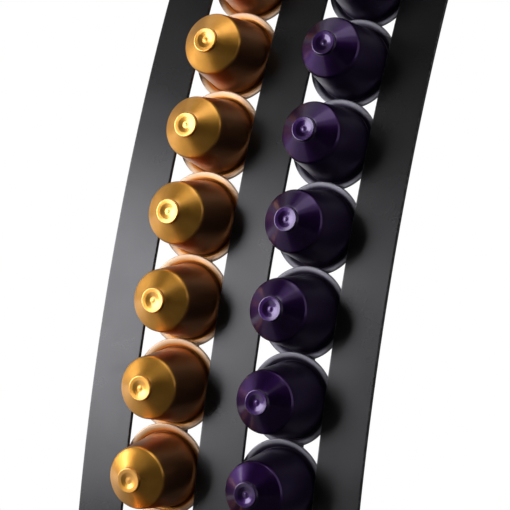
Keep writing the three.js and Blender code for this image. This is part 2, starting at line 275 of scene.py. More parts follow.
def filleted(corners, radii, step):
    """A path through corners with each inner corner rounded by an arc of its radius, and straight
    stretches cut into steps. The arc meets both straights at radius x tan(turn / 2) from the corner."""
    corners = [np.array(c, float) for c in corners]
    path = [corners[0]]
    for before, corner, after, radius in zip(corners, corners[1:], corners[2:], radii):
        into = (corner - before) / np.linalg.norm(corner - before)
        out = (after - corner) / np.linalg.norm(after - corner)
        turn = math.atan2(into[0] * out[1] - into[1] * out[0], into @ out)
        if radius == 0 or abs(turn) < 1e-3:
            path.append(corner)
            continue
        start = corner - into * radius * math.tan(abs(turn) / 2)
        side = np.array([-into[1], into[0]]) * math.copysign(1, turn)
        centre = start + side * radius
        count = max(2, math.ceil(abs(turn) / FILLET_STEP))
        for angle in np.linspace(0, turn, count + 1):
            c, s = math.cos(angle), math.sin(angle)
            arm = -side * radius
            path.append(centre + np.array([c * arm[0] - s * arm[1], s * arm[0] + c * arm[1]]))
    path.append(corners[-1])
    fine = [path[0]]
    for a, b in zip(path, path[1:]):
        cuts = max(1, math.ceil(np.linalg.norm(b - a) / step))
        fine.extend(a + (b - a) * (i + 1) / cuts for i in range(cuts))
    return np.array(fine)


def whole_turn(count):
    """Even angles once round."""
    return np.arange(count) * TAU / count


def turned(radius, height, angle):
    """Points about the Z axis: x = r cos a, y = r sin a."""
    return np.stack([radius * np.cos(angle), radius * np.sin(angle), height + 0 * angle], axis=-1)


def lathed(profile, turns):
    """A profile of (radius, height) points carried round the Z axis."""
    return turned(profile[:, 0, None], profile[:, 1, None], whole_turn(turns))


def quarter_round(radius, count):
    """A quarter round from a flat face to the wall: inset r (1 - sin a) and depth r (1 - cos a)."""
    a = np.linspace(0, QUARTER, count)
    return radius * (1 - np.sin(a)), radius * (1 - np.cos(a))


def rounded_rectangle(half_width, half_height, radius, count):
    """A rectangle's outline with round corners and its outward normals, anticlockwise from its right
    side: four quarter arcs about the corners' centres, of count points each."""
    points, normals = [], []
    centre = np.array([half_width - radius, half_height - radius])
    for quarter, side in enumerate([(1, 1), (-1, 1), (-1, -1), (1, -1)]):
        a = np.linspace(0, QUARTER, count) + quarter * QUARTER
        n = np.stack([np.cos(a), np.sin(a)], 1)
        points.append(centre * side + radius * n)
        normals.append(n)
    return np.concatenate(points), np.concatenate(normals)


# The sheet.


def sheet_place(x, rise, depth):
    """A point of the sheet: x across, rise along its front face from the foot bend, and depth behind
    that face. Above zero it runs on the big arc, then round the foot bend, then flat to the rear."""
    x, rise, depth = np.broadcast_arrays(x, rise, depth)
    angle = np.maximum(rise, 0) / SHEET_RADIUS
    y = ARC_CENTRE[0] - (SHEET_RADIUS - depth) * np.cos(angle)
    z = ARC_CENTRE[1] + (SHEET_RADIUS - depth) * np.sin(angle)
    bent = np.clip(-rise / FOOT_BEND_RADIUS, 0, QUARTER)
    bend_y = SHEET_FRONT_Y + FOOT_BEND_RADIUS - (FOOT_BEND_RADIUS - depth) * np.cos(bent)
    bend_y = bend_y + np.maximum(-rise - FOOT_BEND_LENGTH, 0)
    bend_z = ARC_CENTRE[1] - (FOOT_BEND_RADIUS - depth) * np.sin(bent)
    low = rise < 0
    return np.stack([x, np.where(low, bend_y, y), np.where(low, bend_z, z)], axis=-1)


def slot_rows():
    """The slot's outline from its lower to its upper end: rise, half width, and the two parts of the
    normal that points into the opening. It is a round end, a wide hole, a straight run and a wide
    hole, each arc stepped evenly by its angle: rise = centre - r cos t, half width = r sin t."""
    r, hole = SLOT_WIDTH / 2, WIDE_HOLE_DIAMETER / 2
    exit_rise = LOWEST_RISE + EXIT_LIFT
    meet = (r**2 - hole**2 + exit_rise**2 - LOWEST_RISE**2) / (2 * EXIT_LIFT)
    reach = math.sqrt(hole**2 - r**2)
    exit_start, exit_end = math.acos((exit_rise - meet) / hole), math.acos(-reach / hole)
    runs = [
        (LOWEST_RISE, r, 0, math.acos((LOWEST_RISE - meet) / r), LOWER_ARC_ROWS),
        (exit_rise, hole, exit_start, exit_end, LOWER_ARC_ROWS),
        (LOADING_RISE, hole, math.acos(reach / hole), math.pi, UPPER_ARC_ROWS),
    ]
    rows = []
    for centre, radius, start, end, count in runs:
        t = np.linspace(start, end, count)
        across, along = np.sin(t), np.cos(t)
        rows.append(np.stack([centre - radius * along, radius * across, across, along], 1))
    straight = np.linspace(exit_rise + reach, LOADING_RISE - reach, STRAIGHT_ROWS)[1:-1]
    one, none = np.ones_like(straight), np.zeros_like(straight)
    rows.insert(2, np.stack([straight, r * one, one, none], 1))
    rows = np.concatenate(rows)
    same = np.flatnonzero(np.diff(rows[:, 0]) < 1e-7)
    for i in same:
        rows[i, 2:] = rows[i, 2:] + rows[i + 1, 2:]
        rows[i, 2:] /= np.linalg.norm(rows[i, 2:])
    return np.delete(rows, same + 1, axis=0)


def sheet_rows():
    """All rows of the sheet from the foot's rear edge to the top: rise, slot half width, the slot's
    normal, and the outer edge's half width and normal. Rows beyond the slot have no half width."""
    foot = -FOOT_BEND_LENGTH - FOOT_LENGTH
    slot = slot_rows()
    flat = np.linspace(foot + 4 * MM, -FOOT_BEND_LENGTH, 6)
    bend = np.linspace(-FOOT_BEND_LENGTH, 0, 11)[1:]
    front = np.linspace(0, slot[0, 0] - EDGE_ROW, 9)[1:]
    below = np.concatenate([[foot, foot + EDGE_ROW], flat, bend, front])
    turn = np.linspace(0, QUARTER, TOP_CORNER_ROWS)
    corner = SHEET_TOP - TOP_CORNER_RADIUS + TOP_CORNER_RADIUS * np.sin(turn)
    above = np.concatenate([[slot[-1, 0] + EDGE_ROW], corner])

    def plain(rises):
        return np.pad(rises[:, None], ((0, 0), (0, 3)))

    rows = np.concatenate([plain(below), slot, plain(above)])
    outer = np.tile([SHEET_WIDTH / 2, 1.0, 0.0], (len(rows), 1))
    outer[-len(turn):, 0] += TOP_CORNER_RADIUS * (np.cos(turn) - 1)
    outer[-len(turn):, 1] = np.cos(turn)
    outer[-len(turn):, 2] = np.sin(turn)
    outer[0, 2] = -1
    return np.concatenate([rows, outer], axis=1)


def edge_lines(rows):
    """The six lines that bound the three strips, each as (x, rise) points and outward normals."""
    rise, half, across, along, outer, outer_across, outer_along = rows.T
    open_row = (across != 0) | (along != 0)
    lines = [(-outer, -outer_across, outer_along)]
    for column in (-COLUMN_X, COLUMN_X):
        lines.append((column - half, across, along))
        lines.append((column + half, -across, along))
    lines.append((outer, outer_across, outer_along))
    made = []
    for i, (x, nx, ns) in enumerate(lines):
        ns = ns.copy()
        if 0 < i < 5:
            nx = np.where(open_row, nx, 0)
            ns[0], ns[-1] = -1, 1
        made.append((np.stack([x, rise], 1), np.stack([nx, ns], 1)))
    return made, open_row


def edge_wall(points, normals):
    """The sheet's edge along an outline, from its front to its back: a quarter round, the wall and a
    quarter round, set in from the outline and at their depths."""
    inset, depth = quarter_round(SHEET_EDGE_ROUND, 4)
    inset = np.concatenate([inset, inset[::-1]])
    depth = np.concatenate([depth, (SHEET_THICKNESS - depth)[::-1]])
    wall = points[:, None] - inset[None, :, None] * normals[:, None]
    return sheet_place(wall[..., 0], wall[..., 1], depth)


def strip_points(left, right):
    """A strip's points between its two edge lines, both set in by the edge's round."""
    a, b = [points - SHEET_EDGE_ROUND * normals for points, normals in (left, right)]
    return a[:, None] + STRIP_SHARES[None, :, None] * (b - a)[:, None]


def bent_sheet():
    """The sheet as grids: three strips on the front and the back between their edge lines, and a
    rounded wall carried along the outer outline and each slot's outline."""
    lines, open_row = edge_lines(sheet_rows())
    surface = Surface()
    for left, right in zip(lines[0::2], lines[1::2]):
        flat = strip_points(left, right)
        width = np.linalg.norm(flat[:, -1] - flat[:, 0], axis=1)[:, None]
        distance = np.minimum(STRIP_SHARES, 1 - STRIP_SHARES) * width
        edge = np.exp(-distance / EDGE_WEAR_REACH)
        for depth in (0, SHEET_THICKNESS):
            surface.add(sheet_place(flat[..., 0], flat[..., 1], depth), edge=edge)
    slots = np.flatnonzero(open_row)
    for near, far in ((1, 2), (3, 4)):
        points, normals = [
            np.concatenate([lines[near][part][slots], lines[far][part][slots][-2:0:-1]])
            for part in (0, 1)
        ]
        surface.add(edge_wall(points, normals).swapaxes(0, 1), wrap=True, edge=1)
    for points, normals in outer_outline(lines):
        surface.add(edge_wall(points, normals), edge=1)
    return surface


def outer_outline(lines):
    """The outer outline in four runs: both long sides, and the top and bottom edges, which have a
    point for every column of the strips."""
    yield lines[0]
    yield lines[5]
    for row, along in ((0, -1.0), (-1, 1.0)):
        for left, right in zip(lines[0::2], lines[1::2]):
            edge = strip_points(left, right)[row]
            edge[:, 1] = left[0][row, 1]
            normal = np.tile([0.0, along], (len(edge), 1))
            if left is lines[0]:
                edge[0], normal[0] = left[0][row], left[1][row]
            if right is lines[5]:
                edge[-1], normal[-1] = right[0][row], right[1][row]
            yield edge, normal


def build_sheet(lacquer, stud_steel):
    """The sheet, and the four studs welded to its back as one piece."""
    piece("bent_sheet", bent_sheet(), lacquer, "stand", "black_lacquer", "front_sheet")
    studs = Surface()
    near = SHEET_THICKNESS - STUD_ROOT
    far = SHEET_THICKNESS + SEAT_GAP + GUIDE_THICKNESS + STUD_REACH
    for x in (-COLUMN_X, COLUMN_X):
        for rise in stud_rises():
            studs.add(set_square(threaded_rod(near, far), x, rise), wrap=True)
    piece("weld_studs", studs, stud_steel, "stand", "zinc_steel", "front_sheet")


def threaded_rod(near, far):
    """A rod from one height to the other with a thread: the radius falls and rises once a pitch, as a
    triangle wave of height / pitch less angle / turn. A weld collar widens its near end."""
    rows = round((far - near) / STUD_PITCH * STUD_ROWS_A_PITCH)
    angle = whole_turn(STUD_TURNS)
    height = np.linspace(near, far, rows)[:, None]
    wave = np.abs((height / STUD_PITCH - angle / TAU) % 1 - 0.5) * 2
    end = np.minimum(1, (far - height) / STUD_PITCH)
    collar = WELD_COLLAR * np.exp(-((height - near) / WELD_COLLAR_HEIGHT) ** 2)
    radius = STUD_RADIUS - THREAD_DEPTH * wave - STUD_END_TAPER * (1 - end) + collar
    grid = turned(radius, height, angle)
    cap = grid[-1:] * [0, 0, 1]
    return np.concatenate([grid, cap])


def set_square(grid, x, rise):
    """A shape with its height along Z, set square to the sheet with its height as depth behind the
    front face: across stays x, and its Y runs up the sheet."""
    angle = rise / SHEET_RADIUS
    inward = np.array([0, math.cos(angle), -math.sin(angle)])
    upward = np.array([0, math.sin(angle), math.cos(angle)])
    foot = np.array([x, ARC_CENTRE[0], ARC_CENTRE[1]]) - SHEET_RADIUS * inward
    return foot + grid @ np.array([[1.0, 0, 0], upward, inward])


# The guides and their nuts.


def guide_ends():
    """The rises of the ledge and of the bridge, where a guide steps off the sheet and back."""
    ledge = LOWEST_RISE - (FLANGE_RADIUS + SEAT_GAP) * SHEET_RADIUS / FLANGE_ARC_RADIUS
    return ledge, LOADING_RISE + WIDE_HOLE_DIAMETER / 2 + GUIDE_HOLE_MARGIN


def stud_rises():
    """The rises of a guide's two studs, in the middle of its tabs."""
    ledge, bridge = guide_ends()
    offset = (GUIDE_TAB + GUIDE_THICKNESS) / 2
    return ledge - offset, bridge + offset


def guide_strip(x):
    """A rounded bar section carried along the guide's middle line, which runs on the sheet's back,
    steps in at the ledge, follows the bend and steps back out at the bridge."""
    ledge, bridge = guide_ends()
    half = GUIDE_THICKNESS / 2
    seat = SHEET_THICKNESS + SEAT_GAP + half
    run = guide_run_depth() + half
    low, high, tab = ledge - half, bridge + half, GUIDE_THICKNESS + GUIDE_TAB
    corners = [(ledge - tab, seat), (low, seat), (low, run)]
    corners += [(high, run), (high, seat), (bridge + tab, seat)]
    path = filleted(corners, [GUIDE_BEND_RADIUS] * 4, GUIDE_STEP)
    along = np.gradient(path, axis=0)
    along /= np.linalg.norm(along, axis=1)[:, None]
    normal = np.stack([-along[:, 1], along[:, 0]], axis=1)
    section, _ = rounded_rectangle(GUIDE_WIDTH / 2, half, GUIDE_EDGE_ROUND, 4)
    offset = path[:, None] + section[None, :, 1, None] * normal[:, None]
    grid = sheet_place(x + section[None, :, 0], offset[..., 0], offset[..., 1])
    caps = [grid[[i]].mean(axis=1, keepdims=True) + 0 * grid[[i]] for i in (0, -1)]
    return np.concatenate([caps[0], grid, caps[1]])


def guide_run_depth():
    """The depth of a guide's long front face behind the sheet's front face, from its CAD node: the
    node's points lie on arcs about the sheet's own axis, and between the tabs that face is the outer
    of two."""
    points = node_points("rear_guide_left")
    y, z = points[:, 1] - ARC_CENTRE[0], points[:, 2] - ARC_CENTRE[1]
    radius, rise = np.hypot(y, z), SHEET_RADIUS * np.arctan2(z, -y)
    ledge, bridge = guide_ends()
    run = radius[(rise > ledge + MM) & (rise < bridge - MM)]
    return SHEET_RADIUS - run.max()


def hexagon(angle, across_flats):
    """The distance from the middle to a hexagon's side at an angle: across / 2 / cos(angle from the
    middle of the side)."""
    return across_flats / 2 / np.cos((angle % (TAU / 6)) - TAU / 12)


def hex_nut():
    """A nut from height 0: the radius is the hexagon's, kept under a cone at both ends, and its bore
    is closed from end to end by a plain inner wall with a small countersink."""
    angle = whole_turn(HEXAGON_TURNS)
    chamfer = np.linspace(0, NUT_CHAMFER_HEIGHT, 6)
    height = np.concatenate([chamfer, NUT_HEIGHT - chamfer[::-1]])[:, None]
    from_end = np.minimum(height, NUT_HEIGHT - height)
    cone = NUT_ACROSS_FLATS / 2 * NUT_FACE_SHARE + from_end * NUT_CHAMFER_SLOPE
    radius = np.minimum(hexagon(angle, NUT_ACROSS_FLATS), cone)
    bore, sink = STUD_RADIUS + NUT_BORE_GAP, NUT_COUNTERSINK
    inner_radius = np.array([bore + sink, bore, bore, bore + sink])[:, None] + 0 * angle
    inner_height = np.array([NUT_HEIGHT, NUT_HEIGHT - sink, sink, 0])[:, None]
    radius = np.concatenate([radius, inner_radius, radius[:1]])
    height = np.concatenate([height, inner_height, height[:1]])
    return turned(radius, height, angle)


def build_guides(lacquer, steel):
    """Both guides, and a nut on each stud."""
    depth = SHEET_THICKNESS + 2 * SEAT_GAP + GUIDE_THICKNESS
    for side, x in (("left", -COLUMN_X), ("right", COLUMN_X)):
        node = f"rear_guide_{side}"
        strip = Surface().add(guide_strip(x), wrap=True)
        piece(node + "_strip", strip, lacquer, "stand", "guide_lacquer", node)
        for end, rise in zip(("lower", "upper"), stud_rises()):
            node = f"guide_nut_{side}_{end}"
            nut = Surface().add(set_square(hex_nut() + [0, 0, depth], x, rise), wrap=True)
            piece(node + "_hex", nut, steel, "stand", "zinc_steel", node)


# The base, its pads and its screws.


def build_base(lacquer, rubber, steel):
    """The slab: its outline with rounded upper and lower edges, closed by shrunk copies of it."""
    low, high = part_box("base_plate")
    outline, normal = rounded_rectangle(high.x, high.y, BASE_CORNER_RADIUS, 13)
    inset, rounding = quarter_round(BASE_EDGE_ROUND, 5)
    inset = np.concatenate([inset, inset[::-1]])
    height = np.concatenate([low.z + rounding, high.z - rounding[::-1]])
    wall = outline[None] - inset[:, None, None] * normal[None]
    share = np.array([0, 0.35, 0.7, 0.93, 0.99])[:, None, None]
    under, over = share * wall[:1], (share * wall[-1:])[::-1]
    flat = np.concatenate([under, wall, over])
    height = np.concatenate([np.full(len(under), low.z), height, np.full(len(over), high.z)])
    rim = np.concatenate([np.zeros(len(under)), np.ones(len(wall)), np.zeros(len(over))])
    grid = np.concatenate([flat, np.broadcast_to(height[:, None, None], flat[..., :1].shape)], -1)
    slab = Surface().add(grid, wrap=True, edge=rim[:, None])
    piece("base_slab", slab, lacquer, "stand", "black_lacquer", "base_plate")
    build_pads(rubber)
    build_screws(steel)


def middle(node):
    """The middle of a node's underside, and its size."""
    low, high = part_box(node)
    return np.array([(low.x + high.x) / 2, (low.y + high.y) / 2, low.z]), high - low


def build_pads(rubber):
    """A rubber pad is a lathed disc that tapers to its foot, with a shallow round hollow below."""
    for place in ("front_left", "front_right", "rear_left", "rear_right"):
        node = f"foot_pad_{place}"
        centre, size = middle(node)
        top, foot = size.x / 2, size.x / 2 - PAD_TAPER
        corners = [(0, PAD_HOLLOW), (foot * 0.55, PAD_HOLLOW), (foot * 0.62, 0)]
        corners += [(foot, 0), (top, size.z), (0, size.z)]
        rounds = [0.2 * MM, 0.2 * MM, 0.5 * MM, 0.1 * MM]
        disc = lathed(filleted(corners, rounds, 1 * MM), PAD_TURNS) + centre
        surface = Surface().add(disc, wrap=True)
        piece(node + "_rubber", surface, rubber, "stand", "rubber", node)


def build_screws(steel):
    """A button-head screw: a domed head over a straight shank, with a hexagon socket whose radius
    is the hexagon's at its mouth and its floor."""
    seat = BASE_TOP + SHEET_THICKNESS
    top = seat + SCREW_HEAD_HEIGHT
    end = PAD_HEIGHT - SCREW_OVERRUN
    shank, head = SCREW_SHANK_RADIUS, SCREW_HEAD_RADIUS
    corners = [(0, end), (shank, end), (shank, seat), (head, seat), (head, seat + SCREW_HEAD_RIM)]
    corners += [(head - SCREW_HEAD_DOME, top), (SOCKET_ACROSS / 2 + SOCKET_LIP, top)]
    rounds = [0.3 * MM, 0, 0.2 * MM, 0.4 * MM, 1.5 * MM]
    outer = lathed(filleted(corners, rounds, 1 * MM), HEXAGON_TURNS)
    angle = whole_turn(HEXAGON_TURNS)
    ring = turned(hexagon(angle, SOCKET_ACROSS), 0, angle)
    mouth = ring + [0, 0, top - SOCKET_CHAMFER]
    floor = ring + [0, 0, top - SOCKET_DEPTH]
    drill = ring * 0 + [0, 0, top - SOCKET_DEPTH - SOCKET_DRILL_TIP]
    grid = np.concatenate([outer, mouth[None], floor[None], drill[None]])
    for number in (1, 2, 3):
        node = f"base_screw_{number}"
        centre, _ = middle(node)
        screw = Surface().add(grid + [centre[0], centre[1], 0], wrap=True)
        piece(node + "_steel", screw, steel, "stand", "zinc_steel", node)


# The capsules.


def cup_profile():
    """The cup's section as (radius, height above the flange): outside, from the dish in the nose over
    the ring, cone, shoulder and wall and up the dished web to the rolled rim, then back inside."""

    def run(corners, step):
        return filleted([c[:2] for c in corners], [c[2] for c in corners[1:-1]], step)

    outer = run(NOSE_DISH + NOSE_RING + SHOULDER + FLANGE + INSIDE[:1], OUTSIDE_STEP)
    inner = run(INSIDE, INSIDE_STEP)
    return np.concatenate([outer, inner[1:]]) * MM


def lid_profile():
    """The lid's section: a thin foil disc, its back crossed by three pressed rings near the rim, a
    cosine of the radius over their pitch."""
    wave = np.cos((LID_POINTS - LID_RINGS_FROM) * TAU / LID_RING_PITCH)
    rings = LID_RING_HEIGHT * wave * (LID_POINTS >= LID_RINGS_FROM)
    back = np.stack([LID_POINTS, LID_MIDDLE - LID_THICKNESS / 2 + rings], 1)
    front = [[LID_RADIUS, LID_MIDDLE + LID_THICKNESS / 2], [0, LID_MIDDLE + LID_THICKNESS / 2]]
    return np.concatenate([back, front])


def capsule_frame(colour, number):
    """A capsule's place from its lid: the middle of the lid's points, and the direction in which
    they spread least, turned to point forwards. Returns the flange's middle and three axes."""
    points = np.unique(node_points(f"{colour}_lid_{number}").round(7), axis=0)
    centre = (points.min(axis=0) + points.max(axis=0)) / 2
    axis = np.linalg.svd(points - centre)[2][2]
    axis *= -math.copysign(1, axis[1])
    across = np.array([1.0, 0, 0])
    return centre - axis * LID_MIDDLE, np.stack([across, np.cross(axis, across), axis])


def dented(grid, seed):
    """A drawn cup is never quite round: its radius swells and shrinks by a few hundredths of a
    millimetre in two, three and five waves round the cup, fading at the flange and on the nose ring."""
    random = np.random.default_rng(seed)
    angle = np.arctan2(grid[..., 1], grid[..., 0])
    radius, height = np.hypot(grid[..., 0], grid[..., 1]), grid[..., 2]
    wave = 0
    for count in (2, 3, 5):
        size, phase, climb = random.uniform(0.3, 1), random.uniform(0, TAU), random.uniform(-60, 60)
        wave = wave + size / count * np.cos(count * angle + phase + climb * height)
    from_flange = np.clip(height / DENT_FADE_HEIGHT, 0, 1)
    from_ring = np.clip((radius - DENT_FREE_RADIUS) / DENT_FADE_WIDTH, 0, 1)
    grow = 1 + DENT_DEPTH * wave * (from_flange * from_ring) / np.maximum(radius, MM)
    return grid * np.stack([grow, grow, np.ones_like(grow)], axis=-1)


def build_capsules(cup_materials, foil):
    """Each cup and lid is made upright about the Z axis and turned into its place. It carries its
    upright place as "own", shifted so that no two capsules of a column share their marks."""
    cup, lid = lathed(cup_profile(), CAPSULE_TURNS), lathed(lid_profile(), CAPSULE_TURNS)
    for colour, seed in (("gold", 100), ("violet", 200)):
        for number in range(1, CAPSULES_PER_COLUMN + 1):
            centre, axes = capsule_frame(colour, number)
            body = f"{colour}_capsule_{number}"
            shift = [0, 0, number * OWN_STEP]
            shape = dented(cup, seed + number)
            from_axis = np.hypot(shape[..., 0], shape[..., 1])
            surface = Surface().add(
                shape @ axes + centre, wrap=True, own=shape + shift, from_axis=from_axis
            )
            node = f"{colour}_cup_{number}"
            finish = cup_materials[colour]
            piece(f"{node}_drawn", surface, finish, body, f"{colour}_aluminium", node)
            surface = Surface().add(lid @ axes + centre, wrap=True, own=lid + shift)
            node = f"{colour}_lid_{number}"
            piece(f"{node}_foil", surface, foil, body, "lid_foil", node)


# Node trees. Noise scales are in cells a metre.


class Nodes:
    """Adds nodes to a tree and joins them. An input is a value or another node's output."""

    def __init__(self, tree):
        self.tree = tree
        tree.nodes.clear()

    def join(self, socket, value):
        if isinstance(value, bpy.types.NodeSocket):
            self.tree.links.new(value, socket)
        else:
            socket.default_value = value

    def add(self, kind, inputs=None, **settings):
        node = self.tree.nodes.new(kind)
        for name, value in settings.items():
            setattr(node, name, value)
        for name, value in (inputs or {}).items():
            self.join(node.inputs[name], value)
        return node

    def end(self, shader, kind="ShaderNodeOutputMaterial"):
        """The tree's output, given a shader."""
        self.add(kind, {0: shader.outputs[0]})

    def math(self, operation, a, b=0.0):
        return self.add("ShaderNodeMath", {0: a, 1: b}, operation=operation).outputs[0]

    def scaled_sum(self, value, scale, more):
        """value x scale + more."""
        return self.math("ADD", self.math("MULTIPLY", value, scale), more)

    def spread(self, value, low, high, to_low=0.0, to_high=1.0):
        """A value between low and high carried smoothly to another span."""
        inputs = {"Value": value, 1: low, 2: high, 3: to_low, 4: to_high}
        node = self.add("ShaderNodeMapRange", inputs, interpolation_type="SMOOTHSTEP")
        return node.outputs["Result"]

    def noise(self, vector, scale, detail=3.0, roughness=0.5, distortion=0.0):
        inputs = {
            "Vector": vector, "Scale": scale, "Detail": detail, "Roughness": roughness,
            "Distortion": distortion,
        }
        return self.add("ShaderNodeTexNoise", inputs).outputs["Fac"]

    def stretched(self, vector, scale, rotation=(0, 0, 0)):
        inputs = {"Vector": vector, "Rotation": rotation, "Scale": scale}
        return self.add("ShaderNodeMapping", inputs).outputs[0]

    def bump(self, height, distance, strength=1.0):
        inputs = {"Height": height, "Distance": distance, "Strength": strength}
        return self.add("ShaderNodeBump", inputs).outputs["Normal"]

    def mix_colour(self, factor, a, b):
        node = self.add("ShaderNodeMix", data_type="RGBA")
        for name, value in (("Factor_Float", factor), ("A_Color", a), ("B_Color", b)):
            self.join(next(i for i in node.inputs if i.identifier == name), value)
        return next(o for o in node.outputs if o.identifier == "Result_Color")

    def mix_shaders(self, factor, first, second):
        inputs = {0: factor, 1: first.outputs[0], 2: second.outputs[0]}
        return self.add("ShaderNodeMixShader", inputs)

    def attribute(self, name, output="Fac"):
        return self.add("ShaderNodeAttribute", attribute_name=name).outputs[output]

    def object_place(self):
        return self.add("ShaderNodeTexCoord").outputs["Object"]

    def group(self, tree, **inputs):
        inputs = {name.replace("_", " "): value for name, value in inputs.items()}
        return self.add("ShaderNodeGroup", inputs, node_tree=tree).outputs


FLOAT, VECTOR = "NodeSocketFloat", "NodeSocketVector"


def node_group(name, floats, outputs):
    """An empty shader group that takes a place and floats with defaults. Returns it, its nodes, what
    its input node gives, and a call that fills an output."""
    tree = bpy.data.node_groups.new(name, "ShaderNodeTree")
    tree.interface.new_socket("Place", in_out="INPUT", socket_type=VECTOR)
    for socket_name, default in floats.items():
        socket = tree.interface.new_socket(socket_name, in_out="INPUT", socket_type=FLOAT)
        socket.default_value = default
    for socket_name, kind in outputs.items():
        tree.interface.new_socket(socket_name, in_out="OUTPUT", socket_type=kind)
    nodes = Nodes(tree)
    given = nodes.add("NodeGroupInput").outputs
    result = nodes.add("NodeGroupOutput")

    def put(socket_name, value):
        tree.links.new(value, result.inputs[socket_name])

    return tree, nodes, given, put


def paint_skin_group():
    """Sprayed or rolled coatings: a fine orange peel over a finer tooth, as a normal, and a slow
    unevenness from 0 to 1."""
    tree, nodes, given, put = node_group(
        "paint_skin",
        {"Peel Scale": 900.0, "Tooth Scale": 5000.0, "Peel Share": 0.7, "Depth": 0.00002},
        {"Normal": VECTOR, "Unevenness": FLOAT},
    )
    peel = nodes.noise(given["Place"], given["Peel Scale"], detail=2.0)
    tooth = nodes.noise(given["Place"], given["Tooth Scale"], detail=1.0)
    peel_share = given["Peel Share"]
    tooth_part = nodes.math("MULTIPLY", tooth, nodes.math("SUBTRACT", 1.0, peel_share))
    height = nodes.scaled_sum(peel, peel_share, tooth_part)
    put("Normal", nodes.bump(height, given["Depth"]))
    put("Unevenness", nodes.spread(nodes.noise(given["Place"], 45.0, detail=4.0), 0.3, 0.7))
    return tree


def handling_group():
    """Marks from hands: soft smudges with torn edges, and sparse fine hairlines."""
    tree, nodes, given, put = node_group(
        "handling",
        {"Smudge Scale": 35.0, "Line Scale": 60.0},
        {"Smudges": FLOAT, "Hairlines": FLOAT},
    )
    place = given["Place"]
    broad = nodes.noise(place, given["Smudge Scale"], detail=5.0, roughness=0.6, distortion=0.6)
    put("Smudges", nodes.spread(broad, 0.5, 0.68))
    slanted = nodes.stretched(place, (1, 14, 1), rotation=(0.4, 0.9, 0.3))
    lines = nodes.noise(slanted, given["Line Scale"], detail=2.0, distortion=1.4)
    middle_line = nodes.math("ABSOLUTE", nodes.math("SUBTRACT", lines, 0.5))
    thin = nodes.spread(middle_line, 0.0, 0.006, 1.0, 0.0)
    patch = nodes.spread(nodes.noise(place, 55.0), 0.52, 0.62)
    put("Hairlines", nodes.math("MULTIPLY", thin, patch))
    return tree


def rubbed_group():
    """Rubbing along edges: an edge value broken up by noise."""
    tree, nodes, given, put = node_group(
        "rubbed", {"Edge": 0.0, "Scale": 700.0, "Amount": 0.5}, {"Mask": FLOAT}
    )
    broken = nodes.noise(given["Place"], given["Scale"], detail=4.0, roughness=0.7)
    level = nodes.scaled_sum(given["Edge"], given["Amount"], broken)
    put("Mask", nodes.spread(level, 0.85, 1.1))
    return tree


def blank(name):
    """A new material and its empty tree."""
    made = bpy.data.materials.new(name)
    made.use_nodes = True
    return made, Nodes(made.node_tree)


def material(name):
    """A new material, its nodes and a call that sets or joins a socket of its Principled shader."""
    made, nodes = blank(name)
    shader = nodes.add("ShaderNodeBsdfPrincipled")
    nodes.end(shader)

    def give(**values):
        for socket_name, value in values.items():
            nodes.join(shader.inputs[socket_name.replace("_", " ")], value)

    return made, nodes, give


def rgb(red, green, blue):
    """A colour with full alpha."""
    return (red, green, blue, 1.0)


def black_lacquer(groups, name, colour, roughness):
    """Satin black stove lacquer: a fine peel, smudges that dull it a little, faint hairlines, and
    slightly paler, rubbed paint along the edges."""
    made, nodes, give = material(name)
    rubbed_paint, scratch = rgb(0.05, 0.05, 0.053), rgb(0.12, 0.12, 0.125)
    place = nodes.object_place()
    skin = nodes.group(groups["skin"], Place=place, Depth=0.000006)
    marks = nodes.group(groups["handling"], Place=place)
    edge = nodes.attribute("edge")
    rub = nodes.group(groups["rubbed"], Place=place, Edge=edge, Amount=0.42)
    worn = nodes.mix_colour(rub["Mask"], rgb(*colour), rubbed_paint)
    faint_lines = nodes.math("MULTIPLY", marks["Hairlines"], 0.05)
    streaked = nodes.mix_colour(faint_lines, worn, scratch)
    give(Base_Color=streaked, Metallic=0.0, IOR=1.5, Normal=skin["Normal"])
    dulled = nodes.math("MULTIPLY", marks["Smudges"], 0.04)
    uneven = nodes.scaled_sum(skin["Unevenness"], 0.04, dulled)
    give(Roughness=nodes.math("ADD", uneven, roughness))
    return made


